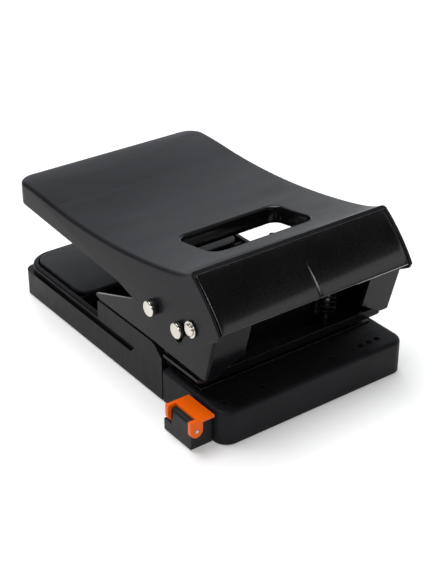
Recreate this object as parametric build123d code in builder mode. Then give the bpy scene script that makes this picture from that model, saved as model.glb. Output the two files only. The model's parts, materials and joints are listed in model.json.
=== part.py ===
from build123d import *
from math import acos, asin, atan2, cos, degrees, hypot, radians, sin, sqrt
import os

os.makedirs("parts", exist_ok=True)

# ---------------------------------------------------------------------------
# Heavy-duty two-hole paper punch, millimetres.
# Frame: origin on the table under the middle of the base, +Z up, +X to the
# right, -Y towards the paper side, +Y towards the chip drawer.
# ---------------------------------------------------------------------------

# base
base_w = 151.0                      # overall width of the base mouldings
half_w = base_w / 2
front_y = -121.5                    # face of the paper table
table_rear_y = -57.0
drawer_front_y = -55.8
rear_y = 124.0
foot_h = 1.0
table_top = 25.0
wall = 3.5
plate_z0, plate_z1 = 1.0, 3.0       # steel base plate

# punching
hole_pitch = 80.0                   # standard two-hole spacing
punch_d = 6.0
punch_y = -80.3                     # axis of both punches
stop_y = -68.3                      # paper stop, 12 mm behind the punch axis
die_top = 26.0
guide_under = 33.5                  # 7.5 mm throat over the die plate
guide_t = 3.0
stroke = 8.81

# pressing linkage
pivot_y, pivot_z = -92.5, 73.4      # handle shaft
drive_y, drive_z = -52.1, 69.9      # drive bar
tie_z = 67.4                        # punch bar, above the punch axis
bar_d = 8.0
press_angle = 12.5                  # handle travel in degrees
ratio = 40.4                        # mm of press travel per radian of handle

# side frame
cheek_in, cheek_out = 73.0, 75.0
flange_in = 48.0

# handle
ear_in, ear_out = 75.6, 77.5
sheet = 1.9
handle_rear = 123.0
corner_r = 13.0
top_pts = [
    (123.0, 92.4), (104.0, 93.0), (85.0, 92.3), (67.0, 91.2), (45.0, 90.7),
    (24.0, 91.1), (-2.7, 92.8), (-28.5, 95.8), (-53.2, 99.8), (-72.0, 103.8),
    (-84.0, 107.6), (-90.5, 111.0),
]
arc_a, arc_m, arc_b = (-90.5, 111.0), (-107.0, 96.6), (-119.8, 80.3)


def circle_through(p, q, r):
    """Centre and radius of the circle through three points."""
    ax, ay = p
    bx, by = q
    cx, cy = r
    d = 2 * (ax * (by - cy) + bx * (cy - ay) + cx * (ay - by))
    ux = ((ax**2 + ay**2) * (by - cy) + (bx**2 + by**2) * (cy - ay) + (cx**2 + cy**2) * (ay - by)) / d
    uy = ((ax**2 + ay**2) * (cx - bx) + (bx**2 + by**2) * (ax - cx) + (cx**2 + cy**2) * (bx - ax)) / d
    return (ux, uy), hypot(ax - ux, ay - uy)


arc_c, arc_r = circle_through(arc_a, arc_m, arc_b)


def on_arc(t, inset=0.0):
    """Point of the front arc at fraction t from crest to lip, set in by inset."""
    a0 = atan2(arc_a[1] - arc_c[1], arc_a[0] - arc_c[0])
    a1 = atan2(arc_b[1] - arc_c[1], arc_b[0] - arc_c[0])
    a = a0 + (a1 - a0) * t
    r = arc_r - inset
    return (arc_c[0] + r * cos(a), arc_c[1] + r * sin(a))


def in_handle(dy, dz, ang):
    """A frame point, relative to the pivot, seen from the handle turned down by ang degrees."""
    a = radians(ang)
    return (dy * cos(a) - dz * sin(a) + pivot_y, dy * sin(a) + dz * cos(a) + pivot_z)


# ---------------------------------------------------------------------------
# Base
# ---------------------------------------------------------------------------
foot_pts = [(-60, -104), (60, -104), (-60, 96), (60, 96)]
leg_screw_pts = [(-64, -40), (64, -40), (-64, 10), (64, 10)]
table_screw_pts = [(-62, -112.6), (62, -112.6), (-68.4, -62.5), (68.4, -62.5)]

# steel plate under the whole punch
with BuildPart() as base_plate:
    with BuildSketch(Plane.XY.offset(plate_z0)):
        with Locations((0, (-117.0 + 110.0) / 2)):
            RectangleRounded(2 * 70.5, 227.0, 7)
        with Locations(*foot_pts):
            Circle(2.5, mode=Mode.SUBTRACT)
    extrude(amount=plate_z1 - plate_z0)
    with Locations(*[(x, y, plate_z1) for x, y in leg_screw_pts]):
        Hole(1.5)
    with BuildSketch(Plane.XY.offset(plate_z0)):
        with Locations(*table_screw_pts):
            Circle(3.1)
    extrude(amount=1.4, mode=Mode.SUBTRACT)
    with Locations(*[(x, y, plate_z1) for x, y in table_screw_pts]):
        Hole(1.5)
base_plate.part.label = "base_plate"
export_step(base_plate.part, "parts/base_plate.step")

# four soft feet with stems through the plate, and a pad under its middle
with BuildPart() as rubber_feet:
    with Locations(*[(x, y, 0) for x, y in foot_pts]):
        Cylinder(7, plate_z0, align=(Align.CENTER, Align.CENTER, Align.MIN))
        Cylinder(2.5, plate_z1 + 1.2, align=(Align.CENTER, Align.CENTER, Align.MIN))
    Cylinder(11, plate_z0, align=(Align.CENTER, Align.CENTER, Align.MIN))
    chamfer(rubber_feet.edges().filter_by(GeomType.CIRCLE).group_by(Axis.Z)[0], 0.4)
rubber_feet.part.label = "rubber_feet"
export_step(rubber_feet.part, "parts/rubber_feet.step")

# ruler channel inside the paper table
ruler_y0, ruler_y1 = -107.0, -95.0
ruler_z0, ruler_z1 = 8.0, 13.0

# paper table: hollow moulding, open below and behind
table_depth = table_rear_y - front_y
with BuildPart() as paper_table:
    with BuildSketch(Plane.XY.offset(plate_z0)) as table_plan:
        with Locations((0, (front_y + table_rear_y) / 2)):
            Rectangle(base_w, table_depth)
        fillet(table_plan.vertices().group_by(Axis.Y)[0], 10)
    extrude(amount=table_top - plate_z0)
    rim = paper_table.faces().sort_by(Axis.Z)[-1].edges()
    fillet([e for e in rim if e.center().Y < table_rear_y - 1], 2.8)
    # cavity
    with BuildSketch(Plane.XY.offset(plate_z0)):
        with Locations((0, (front_y + wall + table_rear_y + 1) / 2)):
            RectangleRounded(base_w - 2 * wall, table_depth - wall + 1, 1.0)
    extrude(amount=table_top - wall - plate_z0, mode=Mode.SUBTRACT)
    # opening for the guide ruler in the left wall
    with Locations((-half_w, (ruler_y0 + ruler_y1) / 2, (ruler_z0 + ruler_z1) / 2)):
        Box(2 * wall + 4, ruler_y1 - ruler_y0 + 0.8, ruler_z1 - ruler_z0 + 0.8, mode=Mode.SUBTRACT)
    # recess for the die plate
    with Locations((0, -74.0, table_top)):
        Box(140.6, 34.6, 4.0, mode=Mode.SUBTRACT)
    # chips fall through under each die
    with Locations((-hole_pitch / 2, punch_y, table_top), (hole_pitch / 2, punch_y, table_top)):
        Hole(5.2)
    # screw posts
    with BuildSketch(Plane.XY.offset(plate_z1)):
        with Locations(*table_screw_pts):
            Circle(2.9)
    extrude(amount=table_top - wall - plate_z1 + 0.4)
    with Locations(*[(x, y, 2.0) for x, y in table_screw_pts]):
        Cylinder(1.5, 12.0, align=(Align.CENTER, Align.CENTER, Align.MIN), mode=Mode.SUBTRACT)
    # ribs that carry the ruler
    with Locations((0, ruler_y0 - 1.15, 13.5)):
        Box(138, 1.5, 17.0)
    with Locations((0, ruler_y0 + 0.4, 6.3)):
        Box(138, 3.0, 2.6)
    with Locations((0, ruler_y1 + 1.15, 13.5)):
        Box(138, 1.5, 17.0)
    with Locations((0, ruler_y1 - 0.4, 6.3)):
        Box(138, 3.0, 2.6)
    # position holes
    with Locations(*[(x, -110.0, table_top) for x in (-65.9, -53.1, -35.9, -1.4, 20.0, 45.1, 52.4, 59.5)]):
        Hole(2.1, depth=2.4)
paper_table.part.label = "paper_table"
export_step(paper_table.part, "parts/paper_table.step")

with BuildPart() as table_screws:
    with Locations(*[(x, y, 1.05) for x, y in table_screw_pts]):
        Cylinder(2.9, 1.3, align=(Align.CENTER, Align.CENTER, Align.MIN))
        Cylinder(1.5, 12.0, align=(Align.CENTER, Align.CENTER, Align.MIN))
table_screws.part.label = "table_screws"
export_step(table_screws.part, "parts/table_screws.step")

# ---------------------------------------------------------------------------
# Dies, stripper and side frame
# ---------------------------------------------------------------------------
with BuildPart() as die_plate:
    with Locations((0, -74.0, 23.0)):
        Box(140.0, 34.0, 3.0, align=(Align.CENTER, Align.CENTER, Align.MIN))
    chamfer(die_plate.faces().sort_by(Axis.Z)[-1].edges(), 0.4)
    with Locations((-hole_pitch / 2, punch_y, die_top), (hole_pitch / 2, punch_y, die_top)):
        Hole(4.5)
die_plate.part.label = "die_plate"
export_step(die_plate.part, "parts/die_plate.step")

with BuildPart() as die_bushes:
    with Locations((-hole_pitch / 2, punch_y, 20.6), (hole_pitch / 2, punch_y, 20.6)):
        Cylinder(4.5, die_top - 20.6, align=(Align.CENTER, Align.CENTER, Align.MIN))
    with Locations((-hole_pitch / 2, punch_y, die_top), (hole_pitch / 2, punch_y, die_top)):
        Hole(punch_d / 2 + 0.06)
die_bushes.part.label = "die_bushes"
export_step(die_bushes.part, "parts/die_bushes.step")

# stripper plate with turned-up sides and front lip
with BuildPart() as stripper_plate:
    with BuildSketch(Plane.XY.offset(guide_under)) as guide_plan:
        with Locations((0, -77.5)):
            Rectangle(2 * 75.0, 41.0)
        fillet(guide_plan.vertices().group_by(Axis.Y)[0], 5.0)
    extrude(amount=guide_t)
    with Locations((-71.4, -76.0, guide_under), (71.4, -76.0, guide_under)):
        Box(3.0, 38.0, 15.0, align=(Align.CENTER, Align.CENTER, Align.MIN))
    with Locations((0, -96.8, guide_under)):
        Box(2 * 69.5, 2.4, 6.5, align=(Align.CENTER, Align.CENTER, Align.MIN))
    fillet(stripper_plate.edges().filter_by(Axis.X).group_by(Axis.Z)[0].sort_by(Axis.Y)[0], 1.6)
    with Locations((-hole_pitch / 2, punch_y, guide_under + guide_t), (hole_pitch / 2, punch_y, guide_under + guide_t)):
        Hole(5.0)
    # rivet holes in the sides
    with BuildSketch(Plane.YZ.offset(-80)):
        with Locations((-88.0, 45.0), (-64.0, 45.0)):
            Circle(2.0)
    extrude(amount=160, mode=Mode.SUBTRACT)
stripper_plate.part.label = "stripper_plate"
export_step(stripper_plate.part, "parts/stripper_plate.step")

with BuildPart() as guide_bushes:
    with Locations((-hole_pitch / 2, punch_y, guide_under), (hole_pitch / 2, punch_y, guide_under)):
        Cylinder(5.0, 7.5, align=(Align.CENTER, Align.CENTER, Align.MIN))
    with Locations((-hole_pitch / 2, punch_y, guide_under + guide_t), (hole_pitch / 2, punch_y, guide_under + guide_t)):
        Cylinder(7.2, 1.8, align=(Align.CENTER, Align.CENTER, Align.MIN))
    with Locations((-hole_pitch / 2, punch_y, 41.0), (hole_pitch / 2, punch_y, 41.0)):
        Hole(punch_d / 2 + 0.05)
guide_bushes.part.label = "guide_bushes"
export_step(guide_bushes.part, "parts/guide_bushes.step")

# angle that stops the paper
with BuildPart() as paper_stop:
    with Locations((0, stop_y + 0.8, die_top + 0.3)):
        Box(116.0, 1.6, guide_under - die_top - 0.3, align=(Align.CENTER, Align.CENTER, Align.MIN))
    with Locations((0, stop_y + 6.0, guide_under - 1.6)):
        Box(116.0, 12.0, 1.6, align=(Align.CENTER, Align.CENTER, Align.MIN))
paper_stop.part.label = "paper_stop"
export_step(paper_stop.part, "parts/paper_stop.step")

# left side cheek: upright plate, front flange turned in, leg down to the base plate
front_lo, front_hi = (-103.4, 40.5), (-113.6, 78.0)
with BuildPart() as left_cheek:
    with BuildSketch(Plane.YZ.offset(-cheek_out)):
        with BuildLine():
            Polyline(
                (18.0, 41.5), (22.5, 43.2), (22.0, 44.6), (-21.0, 60.2), (-50.0, 76.5), (-75.0, 86.5),
                (-98.0, 90.0), (-109.5, 85.5), front_hi, front_lo, (-98.0, 39.8), (-56.0, 41.0), (-50.0, 41.5), (18.0, 41.5),
            )
        make_face()
    extrude(amount=cheek_out - cheek_in)
    # front flange
    with BuildSketch(Plane.YZ.offset(-cheek_out)):
        with BuildLine():
            Polyline(
                front_lo, front_hi, (front_hi[0] + 2.07, front_hi[1]), (front_lo[0] + 2.07, front_lo[1]), front_lo,
            )
        make_face()
    extrude(amount=cheek_out - flange_in)
    bend = left_cheek.edges().filter_by(lambda e: abs(e.center().X + cheek_out) < 0.01 and e.center().Y < -103 and e.length > 30)
    fillet(bend, 1.9)
    # lower inner corner of the flange cut off at a slant
    with BuildSketch(Plane.XZ.offset(100.0)):
        with BuildLine():
            Polyline((-69.0, 38.0), (-46.0, 38.0), (-46.0, 53.4), (-69.0, 39.6), (-69.0, 38.0))
        make_face()
    extrude(amount=14.0, mode=Mode.SUBTRACT)
    # ledge, leg and foot
    with BuildSketch(Plane.XZ.offset(-18.0)):
        with BuildLine():
            Polyline(
                (-75.0, 41.5), (-70.0, 41.5), (-70.0, 5.0), (-70.0, 3.0), (-58.5, 3.0), (-58.5, 5.0), (-68.0, 5.0),
                (-68.0, 43.5), (-75.0, 43.5), (-75.0, 41.5),
            )
        make_face()
    extrude(amount=66.0)
    with Locations((-64.0, -40.0, 5.0), (-64.0, 10.0, 5.0)):
        Hole(1.5, depth=4)
    # shaft hole and the slots that guide the two bars
    with BuildSketch(Plane.YZ.offset(-80.0)):
        with Locations((pivot_y, pivot_z)):
            Circle(bar_d / 2)
        with Locations((drive_y, drive_z - stroke / 2 - 0.1)):
            SlotOverall(stroke + bar_d + 0.9, bar_d + 0.5, rotation=90)
        with Locations((punch_y, tie_z - stroke / 2 - 0.1)):
            SlotOverall(stroke + bar_d + 0.9, bar_d + 0.5, rotation=90)
        with Locations((-88.0, 45.0), (-64.0, 45.0)):
            Circle(2.0)
    extrude(amount=20.0, mode=Mode.SUBTRACT)
left_cheek.part.label = "left_cheek"
export_step(left_cheek.part, "parts/left_cheek.step")

with BuildPart() as right_cheek:
    mirror(left_cheek.part, about=Plane.YZ)
right_cheek.part.label = "right_cheek"
export_step(right_cheek.part, "parts/right_cheek.step")

# flush rivets, cheeks to stripper plate
with BuildPart() as frame_rivets:
    with BuildSketch(Plane.YZ.offset(-75.0)):
        with Locations((-88.0, 45.0), (-64.0, 45.0)):
            Circle(2.0)
    extrude(amount=6.6)
    with BuildSketch(Plane.YZ.offset(-69.9)):
        with Locations((-88.0, 45.0), (-64.0, 45.0)):
            Circle(3.2)
    extrude(amount=1.5)
    mirror(frame_rivets.part, about=Plane.YZ)
frame_rivets.part.label = "frame_rivets"
export_step(frame_rivets.part, "parts/frame_rivets.step")

with BuildPart() as frame_screws:
    with Locations(*[(x, y, 5.0) for x, y in leg_screw_pts]):
        Cylinder(2.9, 1.9, align=(Align.CENTER, Align.CENTER, Align.MIN))
    with Locations(*[(x, y, 1.2) for x, y in leg_screw_pts]):
        Cylinder(1.5, 4.2, align=(Align.CENTER, Align.CENTER, Align.MIN))
frame_screws.part.label = "frame_screws"
export_step(frame_screws.part, "parts/frame_screws.step")

# shaft on which the handle turns, grooved for a clip at each end
shaft_half = 80.4
with BuildPart() as pivot_shaft:
    with BuildSketch(Plane.YZ.offset(-shaft_half)):
        with Locations((pivot_y, pivot_z)):
            Circle(bar_d / 2)
    extrude(amount=2 * shaft_half)
    chamfer(pivot_shaft.edges().filter_by(GeomType.CIRCLE), 0.5)
    for x0 in (-79.15, 78.05):
        with BuildSketch(Plane.YZ.offset(x0)):
            with Locations((pivot_y, pivot_z)):
                Circle(bar_d / 2 + 1)
                Circle(3.1, mode=Mode.SUBTRACT)
        extrude(amount=1.1, mode=Mode.SUBTRACT)
pivot_shaft.part.label = "pivot_shaft"
export_step(pivot_shaft.part, "parts/pivot_shaft.step")

with BuildPart() as e_clips:
    for x0 in (-79.1, 78.1):
        with BuildSketch(Plane.YZ.offset(x0)):
            with Locations((pivot_y, pivot_z)):
                Circle(5.5)
                Circle(3.1, mode=Mode.SUBTRACT)
            with Locations((pivot_y + 2.5, pivot_z - 5.5)):
                Rectangle(4.6, 9.0, rotation=24, mode=Mode.SUBTRACT)
        extrude(amount=1.0)
e_clips.part.label = "e_clips"
export_step(e_clips.part, "parts/e_clips.step")

# ---------------------------------------------------------------------------
# Press: yoke, bars, punches and springs
# ---------------------------------------------------------------------------
with BuildPart() as press_yoke:
    with BuildSketch(Plane.YZ.offset(-64.0)) as yoke_side:
        with BuildLine():
            Polyline(
                (-89.0, 60.0), (-87.5, 76.0), (-82.0, 80.0), (-48.0, 80.0), (-43.5, 76.0), (-43.5, 65.0), (-49.0, 60.5), (-89.0, 60.0),
            )
        make_face()
        fillet(yoke_side.vertices(), 2.5)
    extrude(amount=3.0)
    mirror(press_yoke.part, about=Plane.YZ)
    with Locations((0, -64.0, 77.0)):
        Box(128.0, 30.0, 3.0, align=(Align.CENTER, Align.CENTER, Align.MIN))
    with BuildSketch(Plane.YZ.offset(-70.0)):
        with Locations((drive_y, drive_z), (punch_y, tie_z)):
            Circle(bar_d / 2)
    extrude(amount=140.0, mode=Mode.SUBTRACT)
press_yoke.part.label = "press_yoke"
export_step(press_yoke.part, "parts/press_yoke.step")


with BuildPart() as drive_bar:
    with BuildSketch(Plane.YZ.offset(-81.0)):
        with Locations((drive_y, drive_z)):
            Circle(bar_d / 2)
    extrude(amount=162.0)
    for x0 in (-82.6, 80.6):
        with BuildSketch(Plane.YZ.offset(x0)):
            with Locations((drive_y, drive_z)):
                Circle(5.3)
        extrude(amount=2.0)
    chamfer(drive_bar.edges().filter_by(lambda e: abs(abs(e.center().X) - 82.6) < 0.01), 0.5)
drive_bar.part.label = "drive_bar"
export_step(drive_bar.part, "parts/drive_bar.step")

with BuildPart() as punch_bar:
    with BuildSketch(Plane.YZ.offset(-80.5)):
        with Locations((punch_y, tie_z)):
            Circle(bar_d / 2)
    extrude(amount=161.0)
    for x0 in (-81.6, 79.6):
        with BuildSketch(Plane.YZ.offset(x0)):
            with Locations((punch_y, tie_z)):
                Circle(5.3)
        extrude(amount=2.0)
    chamfer(punch_bar.edges().filter_by(lambda e: abs(abs(e.center().X) - 81.6) < 0.01), 0.5)
punch_bar.part.label = "punch_bar"
export_step(punch_bar.part, "parts/punch_bar.step")

# black collars between handle sheet and bar heads
with BuildPart() as bar_collars:
    for x0, x1, y0, z0 in (
        (-80.6, -78.1, drive_y, drive_z), (78.1, 80.6, drive_y, drive_z),
        (-79.6, -78.1, punch_y, tie_z), (78.1, 79.6, punch_y, tie_z),
    ):
        with BuildSketch(Plane.YZ.offset(x0)):
            with Locations((y0, z0)):
                Circle(5.2)
                Circle(bar_d / 2, mode=Mode.SUBTRACT)
        extrude(amount=x1 - x0)
bar_collars.part.label = "bar_collars"
export_step(bar_collars.part, "parts/bar_collars.step")

punch_tip = guide_under + 0.4
with BuildPart() as left_punch:
    with BuildSketch(Plane.XZ.offset(-punch_y)):
        with BuildLine():
            Polyline(
                (-40.0, punch_tip), (-37.0, punch_tip), (-37.0, 58.0), (-32.6, 58.0), (-32.6, 60.2), (-33.6, 60.2),
                (-33.6, 74.5), (-34.4, 75.3), (-40.0, 75.3), (-40.0, punch_tip),
            )
        make_face()
    revolve(axis=Axis((-40.0, punch_y, 0), (0, 0, 1)))
    with BuildSketch(Plane.YZ.offset(-50.0)):
        with Locations((punch_y, tie_z)):
            Circle(bar_d / 2)
    extrude(amount=20.0, mode=Mode.SUBTRACT)
    # hollow-ground cutting end
    with BuildSketch(Plane.YZ.offset(-50.0)):
        with Locations((punch_y, punch_tip - 5.6)):
            Circle(6.6)
    extrude(amount=20.0, mode=Mode.SUBTRACT)
left_punch.part.label = "left_punch"
export_step(left_punch.part, "parts/left_punch.step")

with BuildPart() as right_punch:
    mirror(left_punch.part, about=Plane.YZ)
right_punch.part.label = "right_punch"
export_step(right_punch.part, "parts/right_punch.step")

# coil springs between guide bush and punch collar
spring_z0, spring_z1 = guide_under + guide_t + 1.8, 58.0
wire_d = 1.3
coil_r = 6.3
with BuildPart() as left_return_spring:
    with BuildLine():
        Helix(pitch=(spring_z1 - spring_z0 - wire_d - 0.2) / 5.0, height=spring_z1 - spring_z0 - wire_d - 0.2, radius=coil_r,
              center=(-hole_pitch / 2, punch_y, spring_z0 + wire_d / 2 + 0.1))
    coil = left_return_spring.edges()[0] if left_return_spring.edges() else left_return_spring.pending_edges[0]
    with BuildSketch(Plane(origin=coil @ 0, z_dir=coil % 0)):
        Circle(wire_d / 2)
    sweep(path=coil)
left_return_spring.part.label = "left_return_spring"
export_step(left_return_spring.part, "parts/left_return_spring.step")

with BuildPart() as right_return_spring:
    mirror(left_return_spring.part, about=Plane.YZ)
right_return_spring.part.label = "right_return_spring"
export_step(right_return_spring.part, "parts/right_return_spring.step")

# ---------------------------------------------------------------------------
# Handle
# ---------------------------------------------------------------------------
skirt_pts = [
    (-118.2, 76.6), (-89.0, 59.5), (-77.0, 52.6), (-70.0, 52.2), (-60.0, 55.6), (-44.0, 61.6), (-24.0, 65.6),
    (-8.0, 69.6), (48.0, 72.8), (104.0, 76.0), (handle_rear, 77.0),
]
with BuildPart() as handle_shell:
    with BuildSketch(Plane.YZ.offset(-ear_out)):
        with BuildLine():
            Spline(*top_pts)
            ThreePointArc(arc_a, arc_m, arc_b)
            Polyline(arc_b, *skirt_pts, top_pts[0])
        make_face()
    extrude(amount=2 * ear_out)
    with BuildSketch(Plane.XY) as outline:
        with Locations((0, (handle_rear - 130.0) / 2)):
            Rectangle(2 * ear_out, handle_rear + 130.0)
        fillet(outline.vertices().group_by(Axis.Y)[-1], corner_r)
    extrude(amount=130, mode=Mode.INTERSECT)
    rim = [
        e for e in handle_shell.edges()
        if e.center().Z > 88 and e.center().Y > -89 and (abs(e.center().X) > 60 or e.center().Y > 110)
        and abs(e.tangent_at(0.5).Z) < 0.6
    ]
    fillet(rim, 2.8)
    # inside of the pressing
    with BuildPart(mode=Mode.PRIVATE) as hollow:
        with BuildSketch(Plane.YZ.offset(-ear_in)):
            with BuildLine():
                Spline(*[(y, z - sheet) for y, z in top_pts])
                Polyline((-90.5, 111.0 - sheet), (-135.0, 111.0 - sheet), (-135.0, 30.0),
                         (handle_rear, 30.0), (handle_rear, top_pts[0][1] - sheet))
            make_face()
        extrude(amount=2 * ear_in)
        with BuildSketch(Plane.XY) as inner_outline:
            with Locations((0, (handle_rear - sheet - 140.0) / 2)):
                Rectangle(2 * ear_in, handle_rear - sheet + 140.0)
            fillet(inner_outline.vertices().group_by(Axis.Y)[-1], corner_r - sheet)
        extrude(amount=130, mode=Mode.INTERSECT)
    add(hollow.part, mode=Mode.SUBTRACT)
    # carrying window
    with BuildSketch(Plane.XY.offset(80)) as window:
        with Locations((0, -45.2)):
            Rectangle(84.0, 46.2)
        fillet(window.vertices().group_by(Axis.Y)[0], 11)
        fillet(window.vertices().group_by(Axis.Y)[-1], 9.5)
    extrude(amount=40, mode=Mode.SUBTRACT)
    # shaft holes and slots in the ears
    a0, a1 = in_handle(drive_y - pivot_y, drive_z - pivot_z, 0), in_handle(
        drive_y - pivot_y, drive_z - pivot_z - stroke, press_angle)
    b0, b1 = in_handle(punch_y - pivot_y, tie_z - pivot_z, 0), in_handle(
        punch_y - pivot_y, tie_z - pivot_z - stroke, press_angle)
    with BuildSketch(Plane.YZ.offset(-90)):
        with Locations((pivot_y, pivot_z)):
            Circle(bar_d / 2 + 0.05)
        for p, q, w in ((a0, a1, bar_d + 0.6), (b0, b1, bar_d + 1.6)):
            with Locations(((p[0] + q[0]) / 2, (p[1] + q[1]) / 2)):
                SlotOverall(hypot(q[0] - p[0], q[1] - p[1]) + w + 0.4, w, rotation=degrees(atan2(q[1] - p[1], q[0] - p[0])))
    extrude(amount=180, mode=Mode.SUBTRACT)
handle_shell.part.label = "handle_shell"
export_step(handle_shell.part, "parts/handle_shell.step")

# glossy front flap between the ears
flap_t = 2.0
with BuildPart() as front_flap:
    with BuildSketch(Plane.YZ.offset(-74.8)):
        with BuildLine():
            ThreePointArc(on_arc(0.075), on_arc(0.5), on_arc(1.0))
            Line(on_arc(1.0), on_arc(1.0, 3.6))
            Line(on_arc(1.0, 3.6), on_arc(0.965, 3.6))
            Line(on_arc(0.965, 3.6), on_arc(0.955, flap_t))
            ThreePointArc(on_arc(0.955, flap_t), on_arc(0.5, flap_t), on_arc(0.1, flap_t))
            Line(on_arc(0.1, flap_t), on_arc(0.075))
        make_face()
    extrude(amount=149.6)
    # tapered centre crease
    mid = on_arc(0.72)
    with BuildSketch(Plane(origin=(0, mid[0], mid[1]), x_dir=(1, 0, 0), z_dir=(0, mid[0] - arc_c[0], mid[1] - arc_c[1]))):
        with BuildLine():
            Polyline((0, 12.0), (-2.6, -13.0), (2.6, -13.0), (0, 12.0))
        make_face()
    extrude(amount=-0.8, mode=Mode.SUBTRACT)
front_flap.part.label = "front_flap"
export_step(front_flap.part, "parts/front_flap.step")

# tabs that hold the flap up to the pressing
with BuildPart() as flap_brackets:
    with BuildSketch(Plane.YZ.offset(-66.0)):
        with BuildLine():
            Polyline(on_arc(0.16, flap_t), on_arc(0.5, flap_t + 0.35), on_arc(0.5, flap_t + 1.9),
                     (on_arc(0.2, flap_t + 3)[0] + 1.0, 103.0), (-78.0, 101.0), (-78.0, 102.6), (-86.0, 106.0), on_arc(0.16, flap_t))
        make_face()
    extrude(amount=14.0)
    mirror(flap_brackets.part, about=Plane.YZ)
flap_brackets.part.label = "flap_brackets"
export_step(flap_brackets.part, "parts/flap_brackets.step")

# lining of the carrying window
with BuildPart() as window_bezel:
    with BuildSketch(Plane.XY.offset(80)) as bezel_out:
        with Locations((0, -45.2)):
            Rectangle(83.8, 46.0)
        fillet(bezel_out.vertices().group_by(Axis.Y)[0], 10.9)
        fillet(bezel_out.vertices().group_by(Axis.Y)[-1], 9.4)
        offset(bezel_out.face(), amount=-2.0, mode=Mode.SUBTRACT)
    extrude(amount=40)
    with BuildSketch(Plane.YZ.offset(-60)):
        with BuildLine():
            Spline(*[(y, z - 0.7) for y, z in top_pts])
            Polyline((-90.5, 110.3), (-90.5, 98.3))
            Spline(*[(y, z - 12.7) for y, z in top_pts])
            Polyline((123.0, 91.7), (123.0, 79.7))
        make_face()
    extrude(amount=120, mode=Mode.INTERSECT)
window_bezel.part.label = "window_bezel"
export_step(window_bezel.part, "parts/window_bezel.step")

# ---------------------------------------------------------------------------
# Paper guide
# ---------------------------------------------------------------------------
with BuildPart() as guide_ruler:
    with Locations(((-77.0 + 62.0) / 2, (ruler_y0 + ruler_y1) / 2, (ruler_z0 + ruler_z1) / 2)):
        Box(139.0, ruler_y1 - ruler_y0, ruler_z1 - ruler_z0)
    with BuildSketch(Plane.XY.offset(ruler_z1)):
        with Locations(*[(-70.0 + 5.0 * i, ruler_y0 + 2.2) for i in range(26)]):
            Rectangle(0.5, 3.2)
    extrude(amount=-0.4, mode=Mode.SUBTRACT)
guide_ruler.part.label = "guide_ruler"
export_step(guide_ruler.part, "parts/guide_ruler.step")

blk_x0, blk_x1 = -92.2, -76.1
pin_x, pin_z = -89.8, 15.8
with BuildPart() as guide_end_block:
    with BuildSketch(Plane.XZ.offset(90.3)) as upper:
        with BuildLine():
            Polyline((blk_x0, 1.0), (blk_x1, 1.0), (blk_x1, 20.7), (blk_x0, 20.7), (blk_x0, 1.0))
        make_face()
        fillet(upper.vertices().sort_by(Axis.X)[:2].sort_by(Axis.Y)[-1], 2.4)
    extrude(amount=20.7)
    with BuildSketch(Plane.XZ.offset(82.4)):
        with Locations(((blk_x0 + blk_x1) / 2, 5.0)):
            Rectangle(blk_x1 - blk_x0, 8.0)
    extrude(amount=28.6)
    # seat for the ruler's end
    with Locations((blk_x1, (ruler_y0 + ruler_y1) / 2, (ruler_z0 + ruler_z1) / 2)):
        Box(1.8, ruler_y1 - ruler_y0, ruler_z1 - ruler_z0, mode=Mode.SUBTRACT)
    with BuildSketch(Plane.XZ.offset(80)):
        with Locations((pin_x, pin_z)):
            Circle(1.2)
    extrude(amount=40, mode=Mode.SUBTRACT)
guide_end_block.part.label = "guide_end_block"
export_step(guide_end_block.part, "parts/guide_end_block.step")

# hinged clip over the end block
with BuildPart() as latch:
    with Locations(((-94.4 + -76.6) / 2, -100.7, 20.95)):
        Box(17.8, 27.0, 2.0, align=(Align.CENTER, Align.CENTER, Align.MIN))
    with Locations((-94.4, -100.7, 20.0)):
        Box(2 * 6.2, 21.2, 6.0, align=(Align.CENTER, Align.CENTER, Align.MIN), mode=Mode.SUBTRACT)
    with BuildSketch(Plane.XZ.offset(111.3)):
        with Locations((pin_x, pin_z)):
            Circle(4.6)
        with Locations((pin_x, (pin_z + 22.9) / 2)):
            Rectangle(9.2, 22.9 - pin_z)
        with Locations((pin_x, pin_z)):
            Circle(1.25, mode=Mode.SUBTRACT)
    extrude(amount=2.9)
    with BuildSketch(Plane.XZ.offset(87.2)):
        with Locations((pin_x, pin_z)):
            Circle(4.6)
        with Locations((pin_x, (pin_z + 22.9) / 2)):
            Rectangle(9.2, 22.9 - pin_z)
        with Locations((pin_x, pin_z)):
            Circle(1.25, mode=Mode.SUBTRACT)
    extrude(amount=2.8)
latch.part.label = "latch"
export_step(latch.part, "parts/latch.step")

with BuildPart() as latch_pin:
    with BuildSketch(Plane.XZ.offset(87.0)):
        with Locations((pin_x, pin_z)):
            Circle(1.2)
    extrude(amount=27.6)
latch_pin.part.label = "latch_pin"
export_step(latch_pin.part, "parts/latch_pin.step")

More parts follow.
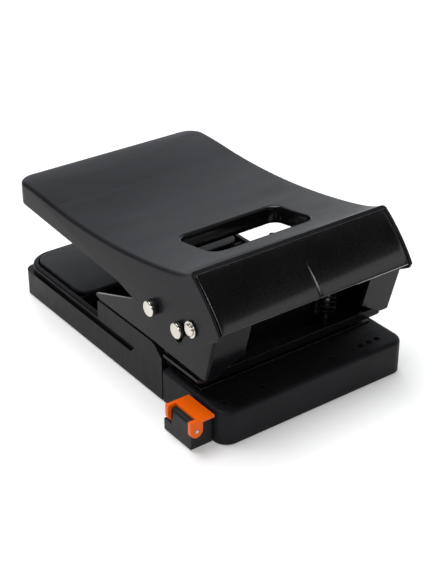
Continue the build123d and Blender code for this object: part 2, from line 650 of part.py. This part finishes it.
# ---------------------------------------------------------------------------
# Chip drawer
# ---------------------------------------------------------------------------
drawer_len = rear_y - drawer_front_y
side_t = 3.9
with BuildPart() as chip_drawer:
    # outer walls
    with BuildSketch(Plane.XY.offset(plate_z0)) as walls:
        with Locations((0, (rear_y + drawer_front_y) / 2)):
            Rectangle(base_w, drawer_len)
        fillet(walls.vertices().group_by(Axis.Y)[-1], 8)
    extrude(amount=27.0 - plate_z0)
    # the rim above the finger recess has rounder rear corners than the wall below it
    with BuildSketch(Plane.XY.offset(19.6)) as rim_cut:
        with Locations((0, (rear_y + 5 + 80.0) / 2)):
            Rectangle(base_w + 10, rear_y + 5 - 80.0)
        with BuildSketch(Plane.XY.offset(19.6), mode=Mode.SUBTRACT) as rim_keep:
            with Locations((0, (rear_y - 0.3 + 60.0) / 2)):
                Rectangle(base_w, rear_y - 0.3 - 60.0)
            fillet(rim_keep.vertices().group_by(Axis.Y)[-1], 20)
    extrude(amount=10, mode=Mode.SUBTRACT)
    fillet(chip_drawer.edges().filter_by(lambda e: e.center().Z > 26.9 and (abs(e.center().X) > 72 or e.center().Y > 115)), 1.5)
    # raised side walls beside the mechanism
    with BuildSketch(Plane.YZ.offset(-half_w)) as raised:
        with BuildLine():
            Polyline((20.5, 20.0), (20.5, 38.6), (19.0, 40.0), (-44.5, 40.0), (-48.0, 38.8), (drawer_front_y, 32.3), (drawer_front_y, 20.0), (20.5, 20.0))
        make_face()
    extrude(amount=base_w)
    # inside
    with BuildSketch(Plane.XY.offset(plate_z0)) as inside:
        with Locations((0, (rear_y - side_t + drawer_front_y - 1) / 2)):
            Rectangle(base_w - 2 * side_t, drawer_len - side_t + 1)
        fillet(inside.vertices().group_by(Axis.Y)[-1], 16.1)
    extrude(amount=60, mode=Mode.SUBTRACT)
    # floor, wide behind the frame legs and narrow between them
    with BuildSketch(Plane.XY.offset(8.0)) as floor:
        with Locations((0, (24.0 + rear_y - side_t + 0.5) / 2)):
            Rectangle(base_w - 2 * side_t + 1, rear_y - side_t + 0.5 - 24.0)
        fillet(floor.vertices().group_by(Axis.Y)[-1], 15.6)
        with Locations((0, (-90.0 + 25.0) / 2)):
            Rectangle(130.0, 115.0)
    extrude(amount=2.0)
    # chip bin walls
    with Locations((-64.0, -33.0, 8.0), (64.0, -33.0, 8.0)):
        Box(2.0, 114.0, 11.6, align=(Align.CENTER, Align.CENTER, Align.MIN))
    with Locations((0, -89.0, 8.0), (0, 25.0, 8.0)):
        Box(130.0, 2.0, 11.6, align=(Align.CENTER, Align.CENTER, Align.MIN))
    # cross walls that close the sides to the floor and carry the deck
    with Locations((0, 52.0, 8.0)):
        Box(base_w - 2 * side_t + 1, 2.0, 17.4, align=(Align.CENTER, Align.CENTER, Align.MIN))
    with Locations((-40, 84.0, 8.0), (40, 84.0, 8.0)):
        Box(2.0, 64.0, 17.4, align=(Align.CENTER, Align.CENTER, Align.MIN))
    # finger recesses along both sides
    with BuildSketch(Plane.YZ.offset(-half_w - 1)) as grip:
        with BuildLine():
            Polyline((116.0, 19.6), (112.0, 25.2), (-24.8, 25.2), (-19.4, 19.6), (116.0, 19.6))
        make_face()
    extrude(amount=3.2, mode=Mode.SUBTRACT)
    with BuildSketch(Plane.YZ.offset(half_w + 1)) as grip_r:
        with BuildLine():
            Polyline((116.0, 19.6), (112.0, 25.2), (-24.8, 25.2), (-19.4, 19.6), (116.0, 19.6))
        make_face()
    extrude(amount=-3.2, mode=Mode.SUBTRACT)
chip_drawer.part.label = "chip_drawer"
export_step(chip_drawer.part, "parts/chip_drawer.step")

# satin deck over the rear of the drawer
with BuildPart() as drawer_deck:
    with BuildSketch(Plane.XY.offset(25.4)) as deck:
        with Locations((0, (51.0 + 119.9) / 2)):
            Rectangle(139.0, 119.9 - 51.0)
        fillet(deck.vertices().group_by(Axis.Y)[0], 12)
        fillet(deck.vertices().group_by(Axis.Y)[-1], 14)
    extrude(amount=2.6)
    fillet(drawer_deck.faces().sort_by(Axis.Z)[-1].edges(), 1.0)
drawer_deck.part.label = "drawer_deck"
export_step(drawer_deck.part, "parts/drawer_deck.step")
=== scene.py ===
import json
import math
import bmesh
import bpy
import numpy as np
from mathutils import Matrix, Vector
from mathutils.bvhtree import BVHTree


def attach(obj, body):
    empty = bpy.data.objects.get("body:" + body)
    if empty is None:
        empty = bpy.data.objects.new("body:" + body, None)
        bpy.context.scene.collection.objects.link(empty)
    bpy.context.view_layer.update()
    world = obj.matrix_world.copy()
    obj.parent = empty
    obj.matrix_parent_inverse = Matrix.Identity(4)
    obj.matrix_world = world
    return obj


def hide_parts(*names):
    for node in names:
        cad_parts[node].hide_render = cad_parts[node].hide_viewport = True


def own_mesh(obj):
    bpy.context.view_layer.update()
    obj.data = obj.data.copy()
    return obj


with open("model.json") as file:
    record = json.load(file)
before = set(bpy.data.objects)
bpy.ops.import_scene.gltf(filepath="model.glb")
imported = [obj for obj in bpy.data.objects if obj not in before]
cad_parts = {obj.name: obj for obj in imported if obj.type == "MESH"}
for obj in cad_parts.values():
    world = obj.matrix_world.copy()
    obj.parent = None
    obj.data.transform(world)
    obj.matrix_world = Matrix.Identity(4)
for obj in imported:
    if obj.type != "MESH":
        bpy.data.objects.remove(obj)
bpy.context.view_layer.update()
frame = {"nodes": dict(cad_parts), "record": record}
nodes = frame["nodes"]
rec = frame["record"]

S = 0.001  # millimetres to metres


# ---------------------------------------------------------------------------
# Material kit
# ---------------------------------------------------------------------------
class Mat:
    """A small builder of node materials around one Principled shader."""

    def __init__(self, name):
        self.m = bpy.data.materials.new(name)
        self.m.use_nodes = True
        self.t = self.m.node_tree
        self.t.nodes.clear()
        self.out = self.t.nodes.new("ShaderNodeOutputMaterial")
        self.bsdf = self.t.nodes.new("ShaderNodeBsdfPrincipled")
        self.t.links.new(self.bsdf.outputs[0], self.out.inputs[0])
        self.coord = self.t.nodes.new("ShaderNodeTexCoord").outputs["Object"]
        self.bumps = []

    def node(self, kind, **kw):
        n = self.t.nodes.new(kind)
        for k, v in kw.items():
            setattr(n, k, v)
        return n

    def link(self, a, b):
        self.t.links.new(a, b)

    def set(self, **kw):
        for k, v in kw.items():
            self.bsdf.inputs[k.replace("_", " ")].default_value = v
        return self

    def stretch(self, scale):
        mp = self.node("ShaderNodeMapping")
        mp.inputs["Scale"].default_value = scale
        self.link(self.coord, mp.inputs["Vector"])
        return mp.outputs[0]

    def noise(self, scale, detail=3.0, rough=0.5, vec=None, distortion=0.0):
        n = self.node("ShaderNodeTexNoise")
        n.inputs["Scale"].default_value = scale
        n.inputs["Detail"].default_value = detail
        n.inputs["Roughness"].default_value = rough
        n.inputs["Distortion"].default_value = distortion
        self.link(vec if vec is not None else self.coord, n.inputs["Vector"])
        return n.outputs["Fac"]

    def voronoi(self, scale, feature="F1", vec=None, out="Distance"):
        n = self.node("ShaderNodeTexVoronoi", feature=feature)
        n.inputs["Scale"].default_value = scale
        self.link(vec if vec is not None else self.coord, n.inputs["Vector"])
        return n.outputs[out]

    def rng(self, fac, a, b, lo=0.0, hi=1.0):
        """fac from a..b mapped to lo..hi, clamped."""
        n = self.node("ShaderNodeMapRange")
        n.inputs["From Min"].default_value = a
        n.inputs["From Max"].default_value = b
        n.inputs["To Min"].default_value = lo
        n.inputs["To Max"].default_value = hi
        self.link(fac, n.inputs["Value"])
        return n.outputs[0]

    def math(self, op, a, b=None, clamp=False):
        n = self.node("ShaderNodeMath", operation=op, use_clamp=clamp)
        for i, v in enumerate((a, b)):
            if v is None:
                continue
            if isinstance(v, (int, float)):
                n.inputs[i].default_value = v
            else:
                self.link(v, n.inputs[i])
        return n.outputs[0]

    def mix(self, fac, a, b):
        n = self.node("ShaderNodeMix", data_type="RGBA")
        self.link(fac, n.inputs[0])
        for i, v in ((6, a), (7, b)):
            if isinstance(v, tuple):
                n.inputs[i].default_value = (*v[:3], 1.0)
            else:
                self.link(v, n.inputs[i])
        return n.outputs[2]

    def edge(self, radius, lo=0.02, hi=0.3):
        """1 on outer edges and corners within radius, 0 on flat faces."""
        bv = self.node("ShaderNodeBevel", samples=4)
        bv.inputs["Radius"].default_value = radius
        geo = self.node("ShaderNodeNewGeometry")
        dot = self.node("ShaderNodeVectorMath", operation="DOT_PRODUCT")
        self.link(bv.outputs[0], dot.inputs[0])
        self.link(geo.outputs["Normal"], dot.inputs[1])
        inv = self.math("SUBTRACT", 1.0, dot.outputs["Value"])
        return self.rng(inv, lo, hi)

    def bump(self, height, distance, strength=1.0):
        b = self.node("ShaderNodeBump")
        b.inputs["Distance"].default_value = distance
        b.inputs["Strength"].default_value = strength
        self.link(height, b.inputs["Height"])
        if self.bumps:
            self.link(self.bumps[-1], b.inputs["Normal"])
        self.bumps.append(b.outputs[0])
        return self

    def done(self, colour=None, rough=None, metallic=None):
        if colour is not None:
            if isinstance(colour, tuple):
                self.bsdf.inputs["Base Color"].default_value = (*colour[:3], 1.0)
            else:
                self.link(colour, self.bsdf.inputs["Base Color"])
        if rough is not None:
            if isinstance(rough, (int, float)):
                self.bsdf.inputs["Roughness"].default_value = rough
            else:
                self.link(rough, self.bsdf.inputs["Roughness"])
        if metallic is not None:
            if isinstance(metallic, (int, float)):
                self.bsdf.inputs["Metallic"].default_value = metallic
            else:
                self.link(metallic, self.bsdf.inputs["Metallic"])
        if self.bumps:
            self.link(self.bumps[-1], self.bsdf.inputs["Normal"])
        return self.m


def painted(name, base, light, rough, speck, coat=0.0, coat_rough=0.1, wear=0.35, wear_col=(0.30, 0.30, 0.31), spec=0.5, r=0.0005, painted_highlight=0.0):
    """Powder or stove paint over sheet steel: fine orange peel, faint cloudiness, sparkle, rubbed edges and a painted
    highlight along the edges.
    """
    k = Mat(name)
    cloud = k.noise(38.0, 3.0, 0.55)
    fine = k.noise(2600.0, 2.0, 0.5)
    mid = k.noise(620.0, 3.0, 0.6)
    col = k.mix(k.rng(cloud, 0.3, 0.7), base, light)
    spark = k.rng(k.voronoi(1900.0), 0.10, 0.02)
    col = k.mix(k.math("MULTIPLY", spark, speck), col, (0.30, 0.31, 0.33))
    edge = k.edge(r)
    worn = k.math("MULTIPLY", edge, k.rng(k.noise(240.0, 4.0, 0.65), 0.46, 0.66, 0.0, wear))
    # painted highlight: the edges are mixed towards a light grey, standing in for light caught along them
    col = k.mix(k.math("MULTIPLY", edge, painted_highlight), col, (0.13, 0.128, 0.122))
    col = k.mix(worn, col, wear_col)
    rg = k.math("ADD", k.rng(mid, 0.25, 0.75, rough - 0.05, rough + 0.06), k.rng(cloud, 0.3, 0.7, -0.02, 0.03))
    k.bump(mid, 0.00003, 0.35)
    k.bump(fine, 0.000012, 0.35)
    k.set(Specular_IOR_Level=spec, Coat_Weight=coat, Coat_Roughness=coat_rough)
    return k.done(col, rg, k.math("MULTIPLY", worn, 0.8))


def moulded(name, base, light, rough, grain=1500.0, depth=0.00003, spec=0.5, edge_highlight=0.5, highlight_col=(0.09, 0.09, 0.095), sub=0.0):
    """Moulded plastic with a fine spark-eroded grain, handling shine and a painted highlight along the edges."""
    k = Mat(name)
    g = k.voronoi(grain, "SMOOTH_F1")
    big = k.noise(26.0, 4.0, 0.6)
    smear = k.noise(90.0, 5.0, 0.6, k.stretch((1.0, 2.4, 1.0)))
    col = k.mix(k.rng(big, 0.3, 0.72), base, light)
    # painted highlight: this edge mask mixes the edges towards a lighter colour, standing in for light caught on them
    e = k.edge(0.0004)
    col = k.mix(k.math("MULTIPLY", e, edge_highlight), col, highlight_col)
    rg = k.math("ADD", k.rng(smear, 0.3, 0.7, rough - 0.06, rough + 0.06), k.rng(g, 0.0, 0.6, 0.03, -0.03))
    k.bump(g, depth, 0.5)
    k.bump(k.noise(240.0, 3.0), 0.00003, 0.25)
    k.set(Specular_IOR_Level=spec, Subsurface_Weight=sub)
    return k.done(col, rg, 0.0)


def metal(name, base, dark, rough, axis=(1.0, 1.0, 1.0), scale=420.0, depth=0.00001, wear=0.4, aniso=0.0, tone=1.0):
    """Bare or plated metal with drawn or ground lines along an axis, stains and brighter edges."""
    k = Mat(name)
    line = k.noise(scale, 4.0, 0.65, k.stretch(axis))
    stain = k.noise(60.0, 4.0, 0.6)
    col = k.mix(k.rng(stain, 0.32, 0.7), base, dark)
    col = k.mix(k.math("MULTIPLY", k.rng(line, 0.35, 0.75), 0.35), col, dark)
    e = k.edge(0.0003)
    bright = tuple(min(1.0, c * 1.25 * tone) for c in base)
    col = k.mix(k.math("MULTIPLY", e, wear), col, bright)
    rg = k.math("ADD", k.rng(line, 0.3, 0.7, rough * 0.75, rough * 1.3), k.rng(stain, 0.3, 0.7, -0.02, 0.05))
    k.bump(line, depth, 0.5)
    k.set(Anisotropic=aniso)
    return k.done(col, rg, 1.0)


# the edge amounts and last edge colours given to painted() and moulded() here, and for the guide and lining materials
# below, are painted highlights along the edges
M = {
    "zinc_steel": metal("zinc_steel", (0.36, 0.37, 0.39), (0.24, 0.25, 0.28), 0.34, (1.0, 1.0, 1.0), 160.0, 0.00002),
    "rubber": moulded("rubber", (0.018, 0.018, 0.018), (0.03, 0.03, 0.03), 0.72, 900.0, 0.00006, 0.3, 0.3, (0.06, 0.06, 0.06)),
    "table_plastic": moulded("table_plastic", (0.0092, 0.0092, 0.0110), (0.0120, 0.0120, 0.0142), 0.50, 1500.0, 0.00003, 0.11, 0.9, (0.085, 0.085, 0.094)),
    "screw_steel": metal("screw_steel", (0.10, 0.10, 0.105), (0.05, 0.05, 0.055), 0.36, (1.0, 1.0, 1.0), 300.0),
    "frame_steel": painted("frame_steel", (0.0036, 0.0036, 0.0042), (0.005, 0.005, 0.006), 0.14, 0.05, coat=0.04, coat_rough=0.05, wear=0.4, spec=0.09, painted_highlight=0.6),
    "tool_steel": metal("tool_steel", (0.16, 0.16, 0.16), (0.09, 0.09, 0.095), 0.26, (0.3, 0.3, 5.0), 300.0),
    "bush_brass": metal("bush_brass", (0.07, 0.07, 0.07), (0.035, 0.035, 0.035), 0.26, (0.3, 0.3, 5.0), 300.0),
    "nickel": metal("nickel", (0.70, 0.67, 0.61), (0.52, 0.49, 0.44), 0.17, (1.0, 1.0, 1.0), 120.0, 0.000003),
    "spring_steel": metal("spring_steel", (0.028, 0.028, 0.030), (0.014, 0.014, 0.016), 0.42, (1.0, 1.0, 1.0), 500.0),
    "handle_paint": painted("handle_paint", (0.0095, 0.0095, 0.0115), (0.0125, 0.0127, 0.0150), 0.31, 0.10, wear=0.3, spec=0.09, painted_highlight=0.6),
    "flap_gloss": painted("flap_gloss", (0.0022, 0.0022, 0.0024), (0.0032, 0.0032, 0.0034), 0.24, 0.3, coat=0.7, coat_rough=0.10, wear=0.2, spec=0.3, painted_highlight=0.3),
    "collar_black": moulded("collar_black", (0.006, 0.006, 0.006), (0.01, 0.01, 0.01), 0.4, 1400.0, 0.00003, 0.4, 0.4),
    "latch_orange": moulded("latch_orange", (0.82, 0.108, 0.0), (0.88, 0.122, 0.0), 0.34, 1300.0, 0.00004, 0.2, 0.7, (1.0, 0.27, 0.02), 0.0),
    "drawer_plastic": moulded("drawer_plastic", (0.0046, 0.0046, 0.0056), (0.0066, 0.0066, 0.0078), 0.38, 1300.0, 0.00003, 0.09, 0.4, (0.05, 0.05, 0.056)),
    "deck_plastic": moulded("deck_plastic", (0.0120, 0.0122, 0.0148), (0.0155, 0.0158, 0.0185), 0.36, 1200.0, 0.00004, 0.16, 0.4, (0.07, 0.07, 0.076)),
}
slot_of = {s["node"]: s["material_slot"] for s in rec["subparts"]}


def shade(mesh, angle=34.0):
    """Smooth shading on every face, after the mesh's custom normals are removed. The angle argument is not used."""
    if "custom_normal" in mesh.attributes:
        mesh.attributes.remove(mesh.attributes["custom_normal"])
    mesh.polygons.foreach_set("use_smooth", [True] * len(mesh.polygons))
    mesh.update()


def paint(obj, slot_name):
    obj.data.materials.clear()
    obj.data.materials.append(M[slot_name])
    obj.data.polygons.foreach_set("material_index", [0] * len(obj.data.polygons))


def polish(obj, width, angle=32.0, segments=2):
    """Joins the faces of a CAD mesh into clean ones and rounds its sharp edges by a real bevel."""
    shade(obj.data)
    w = obj.modifiers.new("join", "WELD")
    w.merge_threshold = 0.000004
    d = obj.modifiers.new("flats", "DECIMATE")
    d.decimate_type = "DISSOLVE"
    d.angle_limit = math.radians(0.6)
    b = obj.modifiers.new("soft_edge", "BEVEL")
    b.width = width
    b.segments = segments
    b.limit_method = "ANGLE"
    b.angle_limit = math.radians(angle)
    b.harden_normals = True
    b.use_clamp_overlap = True


def from_node(name, new_name, body, slot_name):
    """A new piece with the shape of a CAD node, joined into one mesh, standing for it."""
    bm = bmesh.new()
    bm.from_mesh(nodes[name].data)
    bmesh.ops.remove_doubles(bm, verts=bm.verts, dist=0.000004)
    mesh = bpy.data.meshes.new(new_name)
    bm.to_mesh(mesh)
    bm.free()
    obj = bpy.data.objects.new(new_name, mesh)
    bpy.context.scene.collection.objects.link(obj)
    shade(mesh)
    paint(obj, slot_name)
    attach(obj, body)
    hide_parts(name)
    return obj


EDGE = {
    "handle_shell": 0.0005, "left_cheek": 0.0003, "right_cheek": 0.0003, "chip_drawer": 0.0004,
    "paper_table": 0.00055, "drawer_deck": 0.0003, "latch": 0.0008, "guide_end_block": 0.0004,
    "stripper_plate": 0.0003, "die_plate": 0.0006, "window_bezel": 0.0004, "paper_stop": 0.0002,
    "press_yoke": 0.0003, "base_plate": 0.0003, "guide_ruler": 0.0003, "flap_brackets": 0.0003,
    "rubber_feet": 0.0003, "bar_collars": 0.0003, "e_clips": 0.0002,
}
GUIDE = moulded("guide_plastic", (0.0130, 0.0130, 0.0145), (0.0165, 0.0165, 0.0185), 0.42, 1400.0, 0.00003, 0.14, 0.45, (0.09, 0.09, 0.095))
for name, obj in nodes.items():
    paint(obj, slot_of[name])
    if name in ("guide_end_block", "guide_ruler"):
        obj.data.materials[0] = GUIDE
    if name in ("frame_rivets", "press_yoke"):
        obj.data.materials[0] = M["frame_steel"]
    if name in EDGE:
        polish(obj, EDGE[name])
    else:
        polish(obj, 0.00015)

# ---------------------------------------------------------------------------
# Front flap: a curved gloss panel with a tapered centre crease
# ---------------------------------------------------------------------------
ARC_A, ARC_M, ARC_B = (-90.5, 111.0), (-107.0, 96.6), (-119.8, 80.3)


def circle_through(p, q, r):
    (ax, ay), (bx, by), (cx, cy) = p, q, r
    d = 2 * (ax * (by - cy) + bx * (cy - ay) + cx * (ay - by))
    ux = ((ax**2 + ay**2) * (by - cy) + (bx**2 + by**2) * (cy - ay) + (cx**2 + cy**2) * (ay - by)) / d
    uy = ((ax**2 + ay**2) * (cx - bx) + (bx**2 + by**2) * (ax - cx) + (cx**2 + cy**2) * (bx - ax)) / d
    return (ux, uy), math.hypot(ax - ux, ay - uy)


ARC_C, ARC_R = circle_through(ARC_A, ARC_M, ARC_B)
_a0 = math.atan2(ARC_A[1] - ARC_C[1], ARC_A[0] - ARC_C[0])
_a1 = math.atan2(ARC_B[1] - ARC_C[1], ARC_B[0] - ARC_C[0])


def on_arc(t, inset=0.0):
    a = _a0 + (_a1 - _a0) * t
    return ARC_C[0] + (ARC_R - inset) * math.cos(a), ARC_C[1] + (ARC_R - inset) * math.sin(a)


def build_flap():
    t0, t1, half, thick, lip = 0.078, 0.998, 74.7, 2.0, 3.6
    # fine columns around the crease, coarser ones elsewhere, rounded at both ends
    xs = sorted(set(
        [round(v, 3) for v in np.linspace(-3.0, 5.0, 81)]
        + [round(v, 3) for v in np.linspace(-half + 1.0, half - 1.0, 60)]
        + [round(s * (half - 1.0 + math.sin(k * math.pi / 10)), 3) for k in range(1, 6) for s in (-1, 1)]
    ))
    ts = list(np.linspace(t0, t1, 64))
    length = ARC_R * abs(_a1 - _a0)
    bm = bmesh.new()
    outer, inner = [], []
    for t in ts:
        ro, ri = [], []
        lower = max(0.0, (t - 0.955) / (t1 - 0.955))
        depth_in = thick + (lip - thick) * min(1.0, lower * 1.6)
        edge_t = min((t - t0) * length, (t1 - t) * length)
        round_t = 0.0
        if edge_t < 0.8:
            round_t = 0.8 - math.sqrt(max(0.0, 0.64 - (0.8 - edge_t) ** 2))
        for x in xs:
            over = max(0.0, abs(x) - (half - 1.0))
            round_x = 1.0 - math.sqrt(max(0.0, 1.0 - over**2))
            grow = min(1.0, max(0.0, (t - 0.43) / (1.0 - 0.43)))
            w = 0.12 + 1.75 * grow
            u = abs(x - 0.4 - 1.2 * grow) / w
            crease = 0.0
            if grow > 0 and u < 1.0:
                crease = 0.64 * w * (1.0 - u)
            y, z = on_arc(t, max(round_t, round_x) + crease + 0.02)
            ro.append(bm.verts.new((x * S, y * S, z * S)))
            y, z = on_arc(t, depth_in if depth_in > crease + 0.8 else crease + 0.8)
            ri.append(bm.verts.new((x * S, y * S, z * S)))
        outer.append(ro)
        inner.append(ri)
    n, m = len(ts), len(xs)
    for i in range(n - 1):
        for j in range(m - 1):
            bm.faces.new((outer[i][j], outer[i][j + 1], outer[i + 1][j + 1], outer[i + 1][j]))
            bm.faces.new((inner[i][j], inner[i + 1][j], inner[i + 1][j + 1], inner[i][j + 1]))
    for j in range(m - 1):
        bm.faces.new((outer[0][j], inner[0][j], inner[0][j + 1], outer[0][j + 1]))
        bm.faces.new((outer[-1][j], outer[-1][j + 1], inner[-1][j + 1], inner[-1][j]))
    for i in range(n - 1):
        bm.faces.new((outer[i][0], outer[i + 1][0], inner[i + 1][0], inner[i][0]))
        bm.faces.new((outer[i][-1], inner[i][-1], inner[i + 1][-1], outer[i + 1][-1]))
    bmesh.ops.recalc_face_normals(bm, faces=bm.faces)
    for e in bm.edges:
        if len(e.link_faces) == 2 and e.calc_face_angle() > math.radians(42):
            e.smooth = False
    mesh = bpy.data.meshes.new("flap_panel")
    bm.to_mesh(mesh)
    bm.free()
    obj = bpy.data.objects.new("flap_panel", mesh)
    bpy.context.scene.collection.objects.link(obj)
    shade(mesh)
    paint(obj, "flap_gloss")
    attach(obj, "handle")
    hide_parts("front_flap")
    return obj


flap = build_flap()

# ---------------------------------------------------------------------------
# Window lining: a gloss moulding that rolls over the pressing's cut edge
# ---------------------------------------------------------------------------
def build_lining():
    cx, cy, hw, hd, r_front, r_rear = 0.0, -45.2, 41.9, 23.0, 10.9, 9.4
    shell = bmesh.new()
    shell.from_mesh(nodes["handle_shell"].data)
    tree = BVHTree.FromBMesh(shell)

    def loop(inset):
        """Plan points of the rounded window outline, moved inwards."""
        pts = []
        for sx, sy, r in ((1, -1, r_front), (1, 1, r_rear), (-1, 1, r_rear), (-1, -1, r_front)):
            ox, oy = cx + sx * (hw - r), cy + sy * (hd - r)
            base = {(1, -1): -90, (1, 1): 0, (-1, 1): 90, (-1, -1): 180}[(sx, sy)]
            for k in range(13):
                a = math.radians(base + 90 * k / 12)
                pts.append((ox + (r - inset) * math.cos(a), oy + (r - inset) * math.sin(a)))
        full = []
        for k, (x, y) in enumerate(pts):
            full.append((x, y))
            nx, ny = pts[(k + 1) % len(pts)]
            d = math.hypot(nx - x, ny - y)
            steps = int(d // 3.0)
            for q in range(1, steps):
                full.append((x + (nx - x) * q / steps, y + (ny - y) * q / steps))
        return full

    def outline_points(inset, n=220):
        pts = loop(inset)
        seg = [0.0]
        for k in range(len(pts)):
            a, b = pts[k], pts[(k + 1) % len(pts)]
            seg.append(seg[-1] + math.hypot(b[0] - a[0], b[1] - a[1]))
        out = []
        for q in range(n):
            t = seg[-1] * q / n
            k = max(i for i in range(len(seg)) if seg[i] <= t + 1e-9)
            k = min(k, len(pts) - 1)
            a, b = pts[k], pts[(k + 1) % len(pts)]
            f = (t - seg[k]) / max(1e-9, seg[k + 1] - seg[k])
            out.append((a[0] + (b[0] - a[0]) * f, a[1] + (b[1] - a[1]) * f))
        return out

    rim = outline_points(-1.2)
    tops = []
    for x, y in rim:
        hit = tree.ray_cast(Vector((x * S, y * S, 0.2)), Vector((0, 0, -1)))[0]
        tops.append(hit.z / S)
    # inset, depth below the pressing's top
    prof = [(0.02, 0.55), (0.10, 0.30), (0.35, 0.22), (0.70, 0.34), (1.05, 0.66), (1.32, 1.15), (1.48, 1.8), (1.55, 2.8),
            (1.62, 5.5), (1.72, 9.0), (1.80, 11.9), (1.70, 12.3), (1.45, 12.5), (0.45, 12.5), (0.15, 12.35), (0.02, 12.0), (0.02, 6.0)]
    bm = bmesh.new()
    rows = []
    for inset, down in prof:
        ring = outline_points(inset)
        rows.append([bm.verts.new((x * S, y * S, (z - down) * S)) for (x, y), z in zip(ring, tops)])
    n = len(rim)
    for i in range(len(rows)):
        a, b = rows[i], rows[(i + 1) % len(rows)]
        for j in range(n):
            bm.faces.new((a[j], a[(j + 1) % n], b[(j + 1) % n], b[j]))
    bmesh.ops.recalc_face_normals(bm, faces=bm.faces)
    mesh = bpy.data.meshes.new("window_lining")
    bm.to_mesh(mesh)
    bm.free()
    shell.free()
    obj = bpy.data.objects.new("window_lining", mesh)
    bpy.context.scene.collection.objects.link(obj)
    shade(mesh)
    obj.data.materials.append(LINING)
    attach(obj, "handle")
    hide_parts("window_bezel")
    return obj


LINING = moulded("lining_gloss", (0.0035, 0.0035, 0.0038), (0.005, 0.005, 0.0055), 0.16, 900.0, 0.000012, 0.4, 0.2, (0.02, 0.02, 0.022))
build_lining()

# ---------------------------------------------------------------------------
# Return springs: copied from their CAD nodes into meshes of their own on the base (the real springs shorten as the
# press goes down)
# ---------------------------------------------------------------------------
for side in ("left", "right"):
    sp = from_node(side + "_return_spring", side + "_spring_coil", "base", slot_of[side + "_return_spring"])
    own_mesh(sp)

# ---------------------------------------------------------------------------
# Stage, light and camera
# ---------------------------------------------------------------------------
floor_mesh = bpy.data.meshes.new("floor")
bm = bmesh.new()
bmesh.ops.create_grid(bm, x_segments=2, y_segments=2, size=6.0)
bm.to_mesh(floor_mesh)
bm.free()
floor = bpy.data.objects.new("floor", floor_mesh)
bpy.context.scene.collection.objects.link(floor)
fm = Mat("floor_paper")
fcol = fm.mix(fm.rng(fm.noise(3.0, 2.0), 0.3, 0.7), (0.74, 0.74, 0.74), (0.76, 0.76, 0.76))
fm.set(Specular_IOR_Level=0.2, Emission_Color=(1.0, 1.0, 1.0, 1.0), Emission_Strength=0.26)
floor.data.materials.append(fm.done(fcol, 0.7, 0.0))

WALL_FRONT, WALL_BACK = 0.035, 1.08
world = bpy.data.worlds.new("studio")
bpy.context.scene.world = world
world.use_nodes = True
wt = world.node_tree
wt.nodes.clear()
wo = wt.nodes.new("ShaderNodeOutputWorld")
bg = wt.nodes.new("ShaderNodeBackground")
wt.links.new(bg.outputs[0], wo.inputs[0])


def wnode(kind, **kw):
    n = wt.nodes.new(kind)
    for k, v in kw.items():
        setattr(n, k, v)
    return n


def wrange(value, a, b, lo, hi):
    n = wnode("ShaderNodeMapRange", interpolation_type="SMOOTHSTEP")
    for k, v in (("From Min", a), ("From Max", b), ("To Min", lo), ("To Max", hi)):
        n.inputs[k].default_value = v
    wt.links.new(value, n.inputs["Value"])
    return n.outputs[0]


def wmath(op, a, b):
    n = wnode("ShaderNodeMath", operation=op)
    for k, v in enumerate((a, b)):
        if isinstance(v, (int, float)):
            n.inputs[k].default_value = v
        else:
            wt.links.new(v, n.inputs[k])
    return n.outputs[0]


# a dim studio: pale walls behind the object, dark in front of it, a glow overhead
direction = wnode("ShaderNodeTexCoord").outputs["Generated"]
along = wnode("ShaderNodeVectorMath", operation="DOT_PRODUCT")
along.inputs[1].default_value = (0.72, 0.69, 0.0)
wt.links.new(direction, along.inputs[0])
sep = wnode("ShaderNodeSeparateXYZ")
wt.links.new(direction, sep.inputs[0])
walls = wrange(along.outputs["Value"], 0.12, 0.85, WALL_FRONT, WALL_BACK)
shade_up = wrange(sep.outputs["Z"], 0.1, 0.75, 1.0, 0.68)
wt.links.new(wmath("MULTIPLY", walls, shade_up), bg.inputs["Strength"])
bg.inputs["Color"].default_value = (0.93, 0.965, 1.0, 1.0)


def softbox(name, pos, target, sx, sy, power):
    li = bpy.data.lights.new(name, "AREA")
    li.shape = "RECTANGLE"
    li.size, li.size_y = sx, sy
    li.energy = power
    ob = bpy.data.objects.new(name, li)
    ob.location = pos
    d = Vector(target) - Vector(pos)
    ob.rotation_euler = d.to_track_quat("-Z", "Y").to_euler()
    bpy.context.scene.collection.objects.link(ob)
    return ob


softbox("top_box", (-0.08, 0.36, 1.5), (-0.02, 0.03, 0.0), 1.25, 1.05, 31.0)
softbox("left_box", (-0.86, -1.22, 1.05), (0.0, -0.1, 0.09), 0.3, 0.85, 4.0)
softbox("front_strip", (1.02, -1.36, 0.86), (0.0, -0.1, 0.09), 1.3, 0.24, 0.95)
softbox("side_box", (-1.38, -0.52, 0.85), (0.0, -0.1, 0.08), 0.35, 0.55, 3.5)
softbox("low_fill", (0.5, -1.7, 0.25), (0.0, -0.1, 0.03), 1.4, 0.3, 1.8)

cam_data = bpy.data.cameras.new("camera")
cam_data.sensor_fit = "AUTO"
cam_data.sensor_width = 36.0
cam_data.lens = 84.74
cam_data.clip_start = 0.01
cam = bpy.data.objects.new("camera", cam_data)
cam_target = Vector((0.0441, 0.0465, 0.0))
cam.location = Vector((-0.4721, -0.6542, 0.4925))
cam.rotation_euler = (cam_target - cam.location).to_track_quat("-Z", "Y").to_euler()
bpy.context.scene.collection.objects.link(cam)
bpy.context.scene.camera = cam

bpy.context.scene.view_settings.view_transform = "Standard"
